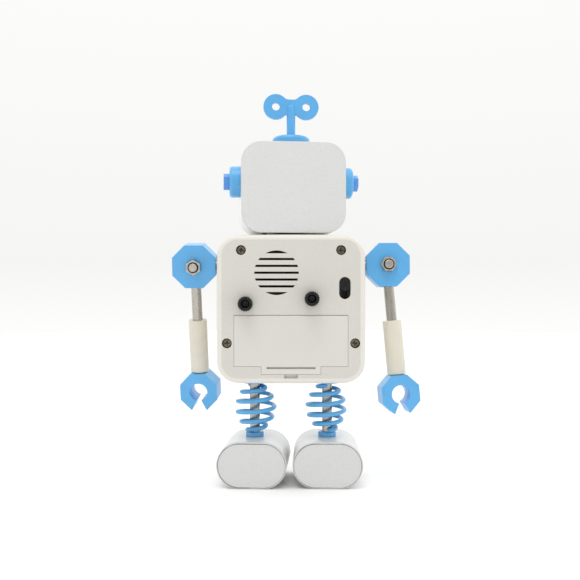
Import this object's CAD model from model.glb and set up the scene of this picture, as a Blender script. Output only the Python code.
from math import cos, pi, radians, sin

import bmesh
import bpy
from mathutils import Matrix, Vector


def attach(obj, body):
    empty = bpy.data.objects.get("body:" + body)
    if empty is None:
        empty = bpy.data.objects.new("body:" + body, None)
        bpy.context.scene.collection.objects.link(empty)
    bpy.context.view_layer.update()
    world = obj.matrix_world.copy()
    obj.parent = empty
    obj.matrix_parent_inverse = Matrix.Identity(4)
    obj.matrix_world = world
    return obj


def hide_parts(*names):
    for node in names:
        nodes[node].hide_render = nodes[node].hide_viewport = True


# Looks for the clock robot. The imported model's frame is in metres: the robot faces -Y and its left is +X.
# Pieces made here are drawn in millimetres about the floor midway between the legs, which stands at LEGS_AT.

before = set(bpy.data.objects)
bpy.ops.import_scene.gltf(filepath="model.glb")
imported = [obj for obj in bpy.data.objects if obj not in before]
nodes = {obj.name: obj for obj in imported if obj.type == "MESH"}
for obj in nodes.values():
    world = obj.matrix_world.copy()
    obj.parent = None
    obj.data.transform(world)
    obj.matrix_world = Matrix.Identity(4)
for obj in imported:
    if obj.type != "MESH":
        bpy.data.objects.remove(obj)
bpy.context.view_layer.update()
scene = bpy.context.scene

MM = 0.001
LEGS_AT = Vector((2.85, -3.2, 0.0)) * MM
SIDES = {"left": 1, "right": -1}

# camera, behind the robot and level with its chest, in metres from LEGS_AT
CAMERA_AT = Vector((0.00056, 0.452, 0.1117))
LENS = 47.67
SENSOR = 36.0

# rear cover
BODY_MID = 101.0
CORNER_CENTRE = 29.85           # from the cover's middle, across and up, to the centre of each round corner
RIM_INNER = 9.2                 # corner radius where the cream rim meets the greyer plate

# barrel springs, on the same curve as the CAD's
LEG_X = 21.2
SPRING_LOW = 29.85
SPRING_TOP = 56.05
SPRING_WIRE_R = 1.25
SPRING_END_R = 4.45             # radius of the coil's centre line at its ends and at its middle
SPRING_MID_R = 11.0
SPRING_BOW = 0.6                # how far the middle leans towards the other leg
SPRING_TURNS = {"left": 4.85, "right": 4.95}
SPRING_START = {"left": 10.0, "right": 100.0}    # angle where the wire starts, degrees
SPRING_CLOSING = 0.15           # how much the pitch narrows at the ends and widens in the middle
SPRING_STEPS = 300

# joint lines round the feet's end plates
SEAM_R = 0.2
SEAM_INSET = 0.3

# dial
DIAL_FACE = -17.0
PRINT_T = 0.05
MINUTE_BAR = (28.6, 29.8, 0.3)  # inner radius, outer radius and width
HOUR_BAR = (27.4, 29.8, 0.9)
NUMERAL_RING = 23.2
NUMERAL_SIZE = 6.2
NUMERAL_WEIGHT = 0.12

# set knobs: (body, across, height); each is knurled round the side and hollow at the end
KNOBS = {"time_knob": ("time_setting", 25.32, 104.0), "alarm_knob": ("alarm_setting", -11.63, 106.81)}
KNOB_RIDGES = 20
KNOB_ROUND = KNOB_RIDGES * 8
# (radius, depth Y, depth of the knurling across and along)
KNOB_PROFILE = (
    (3.3, 22.5, 0.0, 0.0), (4.0, 22.6, 0.4, 0.0), (4.25, 23.0, 0.5, 0.0), (4.25, 26.0, 0.5, 0.0),
    (4.25, 29.2, 0.5, 0.0), (4.1, 29.7, 0.5, 0.1), (3.8, 30.05, 0.4, 0.4), (3.3, 30.2, 0.2, 0.5),
    (2.9, 30.2, 0.0, 0.2), (2.6, 30.1, 0.0, 0.0), (2.35, 29.8, 0.0, 0.0), (2.2, 29.4, 0.0, 0.0),
    (2.2, 26.0, 0.0, 0.0), (1.2, 25.8, 0.0, 0.0),
)

# eyes, on the face plate of the turned head
HEAD_YAW = 5.5
EYE_X = 12.5
EYE_Z = 176.5
FACE_Y = -18.0
# outlines of an eye, (radius, height from the face plate): a rolled ring and the dome inside it
EYE_RING = ((7.2, 0.0), (7.2, 1.3), (6.9, 1.9), (6.3, 2.1), (5.7, 1.9), (5.4, 1.4), (5.4, 0.6))
EYE_DOME = ((5.4, 0.6), (5.3, 1.1), (4.8, 1.75), (3.9, 2.25), (2.7, 2.6), (1.4, 2.76), (0.0, 2.8))

# widths of the rounded edges on CAD pieces
SOFT_EDGES = {
    "left_shoulder_block": 0.35, "right_shoulder_block": 0.35, "left_hand": 0.35, "right_hand": 0.35,
    "lower_collars": 0.25, "ear_bolts": 0.35, "battery_door": 0.12, "winding_key": 0.3,
    "left_shoulder_nut": 0.15, "right_shoulder_nut": 0.15,
}
SOFT_ANGLE = 40.0
SAME_POINT = 0.001              # vertices closer than this are one

# studio, in metres and light strengths
FLOOR_R = 1.7
LIGHT_BASE = 0.92
LIGHT_BY_AXIS = {"X": -0.10, "Y": -0.34, "Z": 0.30}
WALL_BANDS = ((-0.065, 1.0), (0.035, 0.915), (0.50, 1.0))    # (height of the view's direction, brightness)
WALL_TINT = (1.0, 1.0, 0.992, 1.0)
CHEST = (0.0, 0.0, 0.11)
OVERHEAD_AT = (0.10, 0.35, 0.95)
OVERHEAD_SIZE = 0.45
OVERHEAD_POWER = 2.2

# colours, linear
BODY_CREAM = (0.780, 0.750, 0.690)
COVER_GREY = (0.665, 0.645, 0.595)
DOOR_GREY = (0.700, 0.678, 0.630)
SLEEVE_CREAM = (0.735, 0.695, 0.590)
PLATE_GREY = (0.695, 0.695, 0.690)
SHELL_WHITE = (0.690, 0.690, 0.665)
SKY_BLUE = (0.110, 0.425, 0.800)
DEEP_BLUE = (0.110, 0.330, 0.740)
SPRING_BLUE = (0.100, 0.420, 0.780)
NICKEL = (0.50, 0.475, 0.43)
SCREW_BROWN = (0.25, 0.205, 0.155)
BLACK = (0.012, 0.012, 0.013)
KNOB_BLACK = (0.008, 0.008, 0.009)
EYE_BLACK = (0.010, 0.010, 0.012)
BRASS = (0.80, 0.58, 0.26)
DIAL_WHITE = (0.82, 0.82, 0.80)
INK = (0.02, 0.03, 0.05)
RED = (0.62, 0.03, 0.025)
BOARD_GREEN = (0.02, 0.16, 0.06)
CELL_GREEN = (0.02, 0.07, 0.05)
TRAY_GREY = (0.55, 0.54, 0.50)
LENS_TINT = (0.93, 0.97, 1.0, 1.0)
PAPER = ((0.935, 0.935, 0.930), (0.95, 0.95, 0.945))
SEAM_DARK = (0.085, 0.085, 0.080)
SEAM_PALE = (0.42, 0.42, 0.41)
GREASE = (0.035, 0.026, 0.018)
WHITE = (1.0, 1.0, 1.0)

# scales of the marks on steel along each axis
DRAWN = (2200, 2200, 60)
TURNED = (900, 900, 900)


# ---- camera --------------------------------------------------------------------------------------------

camera_data = bpy.data.cameras.new("camera")
camera_data.lens = LENS
camera_data.sensor_width = SENSOR
camera_data.clip_start = 0.01
camera_data.clip_end = 20.0
camera = bpy.data.objects.new("camera", camera_data)
scene.collection.objects.link(camera)
camera.location = LEGS_AT + CAMERA_AT
camera.rotation_euler = (radians(90), 0, radians(180))
scene.camera = camera
scene.view_settings.view_transform = "Standard"


# ---- materials -----------------------------------------------------------------------------------------

def grey(level):
    return (level, level, level)


def tint(colour, amount):
    """The colour made lighter or darker by a factor."""
    return tuple(min(1.0, channel * amount) for channel in colour)


class Shader:
    """A Principled material with short calls for the node chains used here."""

    def __init__(self, name, **values):
        self.material = bpy.data.materials.new(name)
        self.material.use_nodes = True
        self.tree = self.material.node_tree
        self.shader = self.tree.nodes["Principled BSDF"]
        self.coordinates = self.tree.nodes.new("ShaderNodeTexCoord").outputs["Object"]
        for socket, value in values.items():
            self.shader.inputs[socket.replace("_", " ").title().replace("Ior", "IOR")].default_value = value

    def link(self, source, target):
        self.tree.links.new(source, target)

    def stretched(self, scale):
        """Object coordinates, scaled along each axis."""
        mapping = self.tree.nodes.new("ShaderNodeMapping")
        mapping.inputs["Scale"].default_value = scale
        self.link(self.coordinates, mapping.inputs["Vector"])
        return mapping.outputs["Vector"]

    def noise(self, scale, detail=2.0, roughness=0.5, along=None):
        node = self.tree.nodes.new("ShaderNodeTexNoise")
        node.inputs["Scale"].default_value = scale
        node.inputs["Detail"].default_value = detail
        node.inputs["Roughness"].default_value = roughness
        self.link(along or self.coordinates, node.inputs["Vector"])
        return node.outputs["Fac"]

    def ramp(self, source, *stops):
        """Colour ramp between two stops, each (position, colour)."""
        node = self.tree.nodes.new("ShaderNodeValToRGB")
        for element, (position, colour) in zip(node.color_ramp.elements, stops):
            element.position = position
            element.color = (*colour, 1.0)
        self.link(source, node.inputs["Fac"])
        return node.outputs["Color"]

    def math(self, operation, *operands):
        node = self.tree.nodes.new("ShaderNodeMath")
        node.operation = operation
        for socket, value in zip(node.inputs, operands):
            if isinstance(value, (int, float)):
                socket.default_value = value
            else:
                self.link(value, socket)
        return node.outputs["Value"]

    def between(self, source, low, high, start=0.0, end=1.0):
        """Map start..end onto low..high."""
        node = self.tree.nodes.new("ShaderNodeMapRange")
        node.inputs["From Min"].default_value = start
        node.inputs["From Max"].default_value = end
        node.inputs["To Min"].default_value = low
        node.inputs["To Max"].default_value = high
        self.link(source, node.inputs["Value"])
        return node.outputs["Result"]

    def blend(self, factor, a, b, mode="MIX"):
        """Mix two linked colours; the factor is a number or a link."""
        node = self.tree.nodes.new("ShaderNodeMix")
        node.data_type = "RGBA"
        node.blend_type = mode
        for socket, value in (("Factor", factor), ("A", a), ("B", b)):
            target = [s for s in node.inputs if s.name == socket and s.enabled][0]
            if isinstance(value, float):
                target.default_value = value
            elif isinstance(value, tuple):
                target.default_value = (*value, 1.0)
            else:
                self.link(value, target)
        return [s for s in node.outputs if s.enabled][0]

    def bump(self, *layers):
        """Stack of (height source, distance in millimetres)."""
        normal = None
        for height, distance in layers:
            node = self.tree.nodes.new("ShaderNodeBump")
            node.inputs["Distance"].default_value = distance * MM
            node.inputs["Strength"].default_value = 1.0
            self.link(height, node.inputs["Height"])
            if normal is not None:
                self.link(normal, node.inputs["Normal"])
            normal = node.outputs["Normal"]
        self.link(normal, self.shader.inputs["Normal"])

    def openness(self, reach):
        """1 on open surfaces, falling towards 0 in hollows narrower than the reach in millimetres."""
        node = self.tree.nodes.new("ShaderNodeAmbientOcclusion")
        node.inputs["Distance"].default_value = reach * MM
        return node.outputs["AO"]

    def colour(self, source):
        self.link(source, self.shader.inputs["Base Color"])

    def rough(self, source):
        self.link(source, self.shader.inputs["Roughness"])


def moulded_plastic(name, colour, roughness, coat=0.0, spark=0.02, flow=0.03, grain=0.004, cloud=18.0):
    """Injection-moulded plastic: faint flow clouds, spark-eroded grain and a few dust specks."""
    s = Shader(name, coat_weight=coat, coat_roughness=0.12, ior=1.5)
    clouds = s.noise(cloud, 3.0)
    fine = s.noise(900.0, 2.0, 0.6)
    grains = s.noise(2600.0, 3.0, 0.7)
    base = s.ramp(clouds, (0.30, tint(colour, 1.0 - flow)), (0.70, tint(colour, 1.0 + flow * 0.5)))
    speckle = s.ramp(fine, (0.35, grey(1 - spark)), (0.65, WHITE))
    s.colour(s.blend(1.0, base, speckle, "MULTIPLY"))
    s.rough(s.between(s.noise(60.0, 4.0, 0.6), roughness - 0.07, roughness + 0.07))
    s.bump((clouds, 0.10), (grains, grain * 6))
    return s.material


def steel(name, colour, roughness, marks_scale, stain=0.10):
    """Drawn or turned metal with fine marks."""
    s = Shader(name, metallic=1.0, ior=2.5)
    marks = s.noise(1.0, 3.0, 0.6, s.stretched(marks_scale))
    clouds = s.noise(140.0, 4.0, 0.6)
    base = s.ramp(clouds, (0.25, tint(colour, 1.0 - stain)), (0.75, tint(colour, 1.0 + stain * 0.4)))
    lines = s.ramp(marks, (0.30, grey(0.86)), (0.70, WHITE))
    s.colour(s.blend(1.0, base, lines, "MULTIPLY"))
    s.rough(s.between(marks, roughness - 0.08, roughness + 0.12))
    s.bump((marks, 0.02))
    return s.material


def greasy_metal(name, colour, low, high, clean):
    """Plated metal stained between two tints, with dark grease wherever its openness is under clean."""
    s = Shader(name, metallic=1.0, ior=2.5)
    stain = s.noise(900.0, 4.0, 0.7)
    plating = s.ramp(stain, (0.35, tint(colour, low)), (0.70, tint(colour, high)))
    grease = s.ramp(s.openness(0.9), (clean - 0.35, GREASE), (clean, WHITE))
    s.colour(s.blend(1.0, plating, grease, "MULTIPLY"))
    s.rough(s.between(stain, 0.25, 0.50))
    s.bump((stain, 0.05))
    return s.material


def coated_wire(name, colour):
    """Powder-coated spring wire, with a light orange peel."""
    s = Shader(name, coat_weight=0.25, coat_roughness=0.2, ior=1.5)
    peel = s.noise(420.0, 3.0, 0.5)
    clouds = s.noise(60.0, 3.0)
    s.colour(s.ramp(clouds, (0.3, tint(colour, 0.93)), (0.7, tint(colour, 1.04))))
    s.rough(s.between(peel, 0.28, 0.42))
    s.bump((peel, 0.05))
    return s.material


def rubbery(name, colour, roughness, shine=0.3):
    """Black moulded parts with dust in the grain."""
    s = Shader(name, ior=1.45, specular_ior_level=shine)
    dust = s.noise(500.0, 5.0, 0.7)
    grain = s.noise(2200.0, 2.0)
    s.colour(s.ramp(dust, (0.45, colour), (0.80, tint(colour, 2.4))))
    s.rough(s.between(grain, roughness - 0.08, roughness + 0.10))
    s.bump((grain, 0.03))
    return s.material


def seam_line(name):
    """Narrow gap filled with shadow and old glue, darker in places."""
    s = Shader(name, roughness=0.8)
    s.colour(s.ramp(s.noise(48.0, 3.0, 0.6), (0.42, SEAM_DARK), (0.60, SEAM_PALE)))
    return s.material


def clear_sheet(name):
    """Clear moulded lens: see-through face on, less clear towards its edge, lightly scuffed."""
    s = Shader(name, ior=1.49, base_color=LENS_TINT)
    facing = s.tree.nodes.new("ShaderNodeLayerWeight")
    edge_on = s.math("POWER", facing.outputs["Facing"], 3.0)
    s.link(s.between(edge_on, 0.04, 0.60), s.shader.inputs["Alpha"])
    scuff = s.noise(260.0, 5.0, 0.7)
    s.rough(s.between(scuff, 0.02, 0.09))
    return s.material


def rimmed_cover(name, rim, plate):
    """The rear cover: a greyer plate inside a cream rim that follows the housing's rounded square."""
    s = Shader(name, coat_weight=0.1, coat_roughness=0.2, ior=1.5)
    parts = s.tree.nodes.new("ShaderNodeSeparateXYZ")
    s.link(s.coordinates, parts.inputs["Vector"])
    reach = []
    for source, middle in ((parts.outputs["X"], LEGS_AT.x), (parts.outputs["Z"], BODY_MID * MM)):
        away = s.math("ABSOLUTE", s.math("SUBTRACT", source, middle))
        reach.append(s.math("MAXIMUM", s.math("SUBTRACT", away, CORNER_CENTRE * MM), 0.0))
    distance = s.math("POWER", s.math("ADD", *[s.math("MULTIPLY", r, r) for r in reach]), 0.5)
    edge = s.between(distance, 0.0, 1.0, (RIM_INNER - 0.5) * MM, (RIM_INNER + 0.3) * MM)
    clouds = s.noise(22.0, 4.0)
    fine = s.noise(1100.0, 3.0, 0.6)
    flat = s.ramp(clouds, (0.30, tint(plate, 0.97)), (0.70, tint(plate, 1.015)))
    speckle = s.ramp(fine, (0.35, grey(0.965)), (0.65, WHITE))
    s.colour(s.blend(1.0, s.blend(edge, flat, rim), speckle, "MULTIPLY"))
    s.rough(s.between(s.noise(60.0, 4.0, 0.6), 0.40, 0.56))
    s.bump((s.noise(2400.0, 3.0, 0.7), 0.03))
    return s.material


MATERIALS = {
    "ivory": moulded_plastic("ivory_plastic", BODY_CREAM, 0.38, coat=0.15),
    "cover": rimmed_cover("cover_plastic", BODY_CREAM, COVER_GREY),
    "door": moulded_plastic("door_plastic", DOOR_GREY, 0.46),
    "sleeve": moulded_plastic("sleeve_plastic", SLEEVE_CREAM, 0.42, cloud=60.0),
    "plate": moulded_plastic("plate_board", PLATE_GREY, 0.62, spark=0.05, flow=0.02, grain=0.008),
    "shell": moulded_plastic("shell_gloss", SHELL_WHITE, 0.32, coat=0.2, spark=0.01, grain=0.001),
    "blue": moulded_plastic("sky_blue_plastic", SKY_BLUE, 0.34, 0.10, flow=0.05, grain=0.002, cloud=60.0),
    "bolt_blue": moulded_plastic("bolt_blue_plastic", DEEP_BLUE, 0.34, flow=0.05, grain=0.002, cloud=80.0),
    "wire": coated_wire("spring_blue_coat", SPRING_BLUE),
    "rod": steel("drawn_steel", NICKEL, 0.24, DRAWN),
    "turned": steel("turned_steel", NICKEL, 0.26, TURNED),
    "screw": greasy_metal("plated_screw", SCREW_BROWN, 0.40, 1.35, 0.90),
    "nut": greasy_metal("greasy_steel", NICKEL, 0.80, 1.15, 0.80),
    "black": rubbery("black_plastic", BLACK, 0.42),
    "knob": rubbery("knob_black", KNOB_BLACK, 0.24),
    "gloss_black": rubbery("gloss_black", EYE_BLACK, 0.14, shine=0.9),
    "seam": seam_line("seam_shadow"),
    "brass": steel("brass_plate", BRASS, 0.30, TURNED, stain=0.12),
    "lens": clear_sheet("clear_lens"),
    "dial": moulded_plastic("dial_card", DIAL_WHITE, 0.55, flow=0.01),
    "ink": rubbery("dial_ink", INK, 0.5),
    "red": moulded_plastic("red_lacquer", RED, 0.3, coat=0.3),
    "green": moulded_plastic("board_green", BOARD_GREEN, 0.4, coat=0.3),
    "cell": moulded_plastic("cell_wrap", CELL_GREEN, 0.3, coat=0.6),
    "tray": moulded_plastic("tray_plastic", TRAY_GREY, 0.5),
}

NODE_MATERIALS = {
    "ivory": ["body_shell"],
    "cover": ["rear_cover"],
    "door": ["battery_door"],
    "sleeve": ["left_sleeve", "right_sleeve"],
    "plate": ["head_back_plate", "face_plate", "left_foot_plates", "right_foot_plates"],
    "shell": ["head_shell", "left_foot_shell", "right_foot_shell"],
    "blue": [
        "ear_discs", "key_flange", "winding_key", "left_shoulder_block", "right_shoulder_block",
        "left_hand", "right_hand", "bezel", "lower_collars", "upper_collars", "mouth",
    ],
    "bolt_blue": ["ear_bolts"],
    "wire": ["left_leg_spring", "right_leg_spring"],
    "rod": ["leg_rods", "left_arm_rod", "right_arm_rod"],
    "turned": ["neck_pin", "shoulder_pins", "battery_contacts", "time_shaft", "alarm_shaft"],
    "nut": ["left_shoulder_bolt", "right_shoulder_bolt", "left_shoulder_nut", "right_shoulder_nut"],
    "screw": ["cover_screws"],
    "black": ["switch_slider", "switch_body", "time_knob", "alarm_knob", "neck_washer", "speaker", "eyes"],
    "brass": ["movement_frame", "motion_wheel", "minute_wheel", "hour_wheel", "alarm_wheel"],
    "lens": ["lens"],
    "dial": ["dial"],
    "ink": ["minute_hand", "hour_hand"],
    "red": ["second_hand", "alarm_hand"],
    "green": ["circuit_board"],
    "cell": ["battery_cells"],
    "tray": ["battery_tray"],
}
for key, names in NODE_MATERIALS.items():
    for name in names:
        node = nodes[name]
        if not node.material_slots:
            node.data.materials.append(None)
        for slot in node.material_slots:
            slot.link = "OBJECT"
            slot.material = MATERIALS[key]


# ---- softened edges on the CAD pieces ------------------------------------------------------------------

for name, width in SOFT_EDGES.items():
    weld = nodes[name].modifiers.new("weld", "WELD")
    weld.merge_threshold = SAME_POINT * MM
    bevel = nodes[name].modifiers.new("bevel", "BEVEL")
    bevel.width = width * MM
    bevel.segments = 2
    bevel.limit_method = "ANGLE"
    bevel.angle_limit = radians(SOFT_ANGLE)
    bevel.harden_normals = True


# ---- pieces made here ----------------------------------------------------------------------------------

def piece(name, mesh, materials, body, stands_for=None, smooth=True):
    """Put a finished mesh in the scene, over the legs, and let it ride on its body."""
    mesh.transform(Matrix.Translation(LEGS_AT))
    made = bpy.data.objects.new(name, mesh)
    scene.collection.objects.link(made)
    for material in materials:
        mesh.materials.append(MATERIALS[material])
    if smooth:
        mesh.shade_smooth()
    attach(made, body)
    if stands_for:
        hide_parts(stands_for)


def as_mesh(name, made):
    """The finished bmesh as a mesh."""
    mesh = bpy.data.meshes.new(name)
    made.to_mesh(mesh)
    made.free()
    return mesh


def angles(count):
    return [2 * pi * step / count for step in range(count)]


def skin(made, rings, material=0):
    """Faces between each ring of vertices and the next; a ring of one vertex is a tip."""
    for ring, following in zip(rings, rings[1:]):
        for step, vert in enumerate(ring):
            after = (step + 1) % len(ring)
            if len(following) == 1:
                face = made.faces.new((vert, ring[after], following[0]))
            else:
                face = made.faces.new((vert, ring[after], following[after], following[step]))
            face.material_index = material


def tube(name, path, radius, around=20, upright=Vector((0, 0, 1))):
    """Closed round tube along a path of points that never runs along upright, its two ends domed."""
    first = path[1] - path[0]
    last = path[-1] - path[-2]
    tangents = [first] + [after - before for before, after in zip(path, path[2:])] + [last]
    # (centre, tangent, push along the tangent and radius, both as shares of the tube's radius)
    stations = [(path[0], first, -0.60, 0.25), (path[0], first, -0.35, 0.80)]
    stations += [(point, tangent, 0.0, 1.0) for point, tangent in zip(path, tangents)]
    stations += [(path[-1], last, 0.35, 0.80), (path[-1], last, 0.60, 0.25)]
    made = bmesh.new()
    rings = []
    for centre, tangent, push, share in stations:
        tangent = tangent.normalized()
        side = tangent.cross(upright).normalized()
        up = side.cross(tangent).normalized()
        middle = centre + tangent * push * radius
        outs = [side * cos(turn) + up * sin(turn) for turn in angles(around)]
        rings.append([made.verts.new(middle + out * radius * share) for out in outs])
    skin(made, rings)
    made.faces.new(list(reversed(rings[0])))
    made.faces.new(rings[-1])
    bmesh.ops.recalc_face_normals(made, faces=made.faces)
    return as_mesh(name, made)


def barrel_spring(side):
    path = []
    for step in range(SPRING_STEPS + 1):
        share = step / SPRING_STEPS
        swell = sin(pi * share)
        radius = SPRING_END_R + (SPRING_MID_R - SPRING_END_R) * swell
        angle = radians(SPRING_START[side]) + 2 * pi * SPRING_TURNS[side] * share
        climb = share - SPRING_CLOSING * sin(2 * pi * share) / (2 * pi)
        path.append(Vector((
            SIDES[side] * (LEG_X - SPRING_BOW * swell) + radius * cos(angle),
            radius * sin(angle),
            SPRING_LOW + (SPRING_TOP - SPRING_LOW) * climb,
        )) * MM)
    name = f"{side}_barrel_spring"
    piece(name, tube(name, path, SPRING_WIRE_R * MM), ["wire"], "torso", f"{side}_leg_spring")


def plate_outline(node, facing):
    """Edge of a plate's outermost face towards +Y (1) or -Y (-1): ordered points and the face's normal."""
    plate = bmesh.new()
    plate.from_mesh(node.data)
    plate.transform(node.matrix_world)
    bmesh.ops.remove_doubles(plate, verts=plate.verts, dist=SAME_POINT * MM)
    outward = [face for face in plate.faces if face.normal.y * facing > 0.9]
    normal = max(outward, key=lambda face: face.calc_area()).normal.copy()
    top = max(face.calc_center_median().dot(normal) for face in outward)
    flat = {face for face in outward if face.calc_center_median().dot(normal) > top - 0.01 * MM}
    following = {}
    for face in flat:
        for loop in face.loops:
            if not any(other.face in flat for other in loop.edge.link_loops if other.face is not face):
                following[loop.vert] = loop.link_loop_next.vert
    start = max(following, key=lambda vert: (vert.co.z, vert.co.x))
    points = [start.co.copy()]
    vert = following[start]
    while vert is not start:
        points.append(vert.co.copy())
        vert = following[vert]
    plate.free()
    return points, normal


def plate_seam(side, end, facing):
    """The joint line round one end plate of a foot, just inside its edge."""
    points, normal = plate_outline(nodes[f"{side}_foot_plates"], facing)
    middle = sum(points, Vector()) / len(points)
    path = [point + (middle - point).normalized() * SEAM_INSET * MM - LEGS_AT for point in points]
    path += path[:2]
    name = f"{side}_{end}_seam"
    seam = tube(name, path, SEAM_R * MM, around=8, upright=normal)
    piece(name, seam, ["seam"], f"{side}_foot")


def onto_dial(x, z, lift):
    """Point over the dial's face, x to the robot's left and z up from the clock's centre."""
    return Vector((x, DIAL_FACE - lift, BODY_MID + z)) * MM


def dial_bar(made, angle, inner, outer, width):
    """Printed bar along a radius of the dial."""
    out = Vector((-sin(angle), cos(angle)))
    across = Vector((out.y, -out.x)) * width / 2
    corners = [out * inner - across, out * inner + across, out * outer + across, out * outer - across]
    low = [made.verts.new(onto_dial(c.x, c.y, 0.0)) for c in corners]
    high = [made.verts.new(onto_dial(c.x, c.y, PRINT_T)) for c in corners]
    made.faces.new(high)
    made.faces.new(list(reversed(low)))
    for i in range(4):
        made.faces.new((low[i], low[(i + 1) % 4], high[(i + 1) % 4], high[i]))


def dial_numeral(made, hour):
    angle = 2 * pi * hour / 12
    text = bpy.data.curves.new(f"numeral_{hour}", "FONT")
    text.body = str(hour)
    text.size = NUMERAL_SIZE * MM
    text.align_x = "CENTER"
    text.align_y = "CENTER"
    text.extrude = PRINT_T / 2 * MM
    text.offset = NUMERAL_WEIGHT * MM
    text.resolution_u = 6
    letters = bpy.data.objects.new(f"numeral_{hour}", text)
    flat = bpy.data.meshes.new_from_object(letters)
    centre = onto_dial(NUMERAL_RING * sin(angle), NUMERAL_RING * cos(angle), PRINT_T / 2)
    flat.transform(Matrix.Translation(centre) @ Matrix.Rotation(radians(90), 4, "X"))
    made.from_mesh(flat)
    bpy.data.objects.remove(letters)
    bpy.data.curves.remove(text)
    bpy.data.meshes.remove(flat)


def dial_print():
    """Minute track, hour marks and numerals, as one thin layer of ink."""
    made = bmesh.new()
    for minute, angle in enumerate(angles(60)):
        dial_bar(made, angle, *(MINUTE_BAR if minute % 5 else HOUR_BAR))
    for hour in range(1, 13):
        dial_numeral(made, hour)
    piece("dial_print", as_mesh("dial_print", made), ["ink"], "torso", smooth=False)


def knurled_knob(node_name):
    body, x, z = KNOBS[node_name]
    made = bmesh.new()
    rings = []
    for radius, depth, across, along in KNOB_PROFILE:
        ring = []
        for turn in angles(KNOB_ROUND):
            valley = 1.0 - abs(sin(KNOB_RIDGES * turn / 2)) ** 0.7
            reach = radius - across * valley
            point = Vector((x + reach * cos(turn), depth - along * valley, z + reach * sin(turn)))
            ring.append(made.verts.new(point * MM))
        rings.append(ring)
    skin(made, rings)
    made.faces.new(rings[0])
    made.faces.new(rings[-1])
    bmesh.ops.recalc_face_normals(made, faces=made.faces)
    name = f"knurled_{node_name}"
    piece(name, as_mesh(name, made), ["knob"], body, node_name)


def lathe(made, profile, place, material, around=56):
    """Turn a profile about the piece's own -Y axis; returns its rings."""
    rings = []
    for radius, height in profile:
        turns = angles(around) if radius else [0.0]
        points = [Vector((radius * cos(turn), -height, radius * sin(turn))) * MM for turn in turns]
        rings.append([made.verts.new(place @ point) for point in points])
    skin(made, rings, material)
    return rings


def domed_eyes():
    """Both eyes: a rolled blue ring round a glossy dome."""
    made = bmesh.new()
    yaw = Matrix.Rotation(radians(HEAD_YAW), 4, "Z")
    for sign in SIDES.values():
        place = yaw @ Matrix.Translation(Vector((sign * EYE_X, FACE_Y, EYE_Z)) * MM)
        ring = lathe(made, EYE_RING, place, 0)
        lathe(made, EYE_DOME, place, 1)
        made.faces.new(list(reversed(ring[0])))
    bmesh.ops.remove_doubles(made, verts=made.verts, dist=0.005 * MM)
    bmesh.ops.recalc_face_normals(made, faces=made.faces)
    piece("domed_eyes", as_mesh("domed_eyes", made), ["blue", "gloss_black"], "head", "eyes")


for side in SIDES:
    barrel_spring(side)
for side in SIDES:
    plate_seam(side, "rear", 1)
    plate_seam(side, "front", -1)
dial_print()
for name in KNOBS:
    knurled_knob(name)
domed_eyes()


# ---- stage ---------------------------------------------------------------------------------------------

disc = bmesh.new()
bmesh.ops.create_circle(disc, cap_ends=True, segments=96, radius=FLOOR_R)
floor = bpy.data.objects.new("floor", as_mesh("floor", disc))
scene.collection.objects.link(floor)
paper = Shader("floor_paper", ior=1.4, roughness=0.75)
paper.colour(paper.ramp(paper.noise(3.0, 3.0), (0.3, PAPER[0]), (0.7, PAPER[1])))
floor.data.materials.append(paper.material)

world = bpy.data.worlds.new("studio")
scene.world = world
world.use_nodes = True
sky = world.node_tree


def sky_math(operation, *operands):
    node = sky.nodes.new("ShaderNodeMath")
    node.operation = operation
    for socket, value in zip(node.inputs, operands):
        if isinstance(value, float):
            socket.default_value = value
        else:
            sky.links.new(value, socket)
    return node.outputs["Value"]


axes = sky.nodes.new("ShaderNodeSeparateXYZ")
sky.links.new(sky.nodes.new("ShaderNodeTexCoord").outputs["Generated"], axes.inputs["Vector"])
# the light is brighter overhead and beyond the robot, and dimmer on the side the robot's back faces
light_level = LIGHT_BASE
for axis, gain in LIGHT_BY_AXIS.items():
    light_level = sky_math("ADD", sky_math("MULTIPLY", axes.outputs[axis], gain), light_level)
# what the camera sees: white under the horizon, fading into a pale wall that lightens upwards
wall = sky.nodes.new("ShaderNodeValToRGB")
wall.color_ramp.elements.new(0.5)
for element, (height, shade) in zip(wall.color_ramp.elements, WALL_BANDS):
    element.position = height + 0.5
    element.color = (*grey(shade), 1.0)
sky.links.new(sky_math("ADD", axes.outputs["Z"], 0.5), wall.inputs["Fac"])
level = sky.nodes.new("ShaderNodeMix")
level.data_type = "FLOAT"
sky.links.new(sky.nodes.new("ShaderNodeLightPath").outputs["Is Camera Ray"], level.inputs["Factor"])
sky.links.new(light_level, level.inputs["A"])
sky.links.new(wall.outputs["Color"], level.inputs["B"])
background = sky.nodes["Background"]
background.inputs["Color"].default_value = WALL_TINT
sky.links.new(level.outputs["Result"], background.inputs["Strength"])

overhead_data = bpy.data.lights.new("overhead", "AREA")
overhead_data.size = OVERHEAD_SIZE
overhead_data.energy = OVERHEAD_POWER
overhead = bpy.data.objects.new("overhead", overhead_data)
scene.collection.objects.link(overhead)
overhead.location = OVERHEAD_AT
overhead.rotation_euler = (Vector(CHEST) - Vector(OVERHEAD_AT)).to_track_quat("-Z", "Y").to_euler()
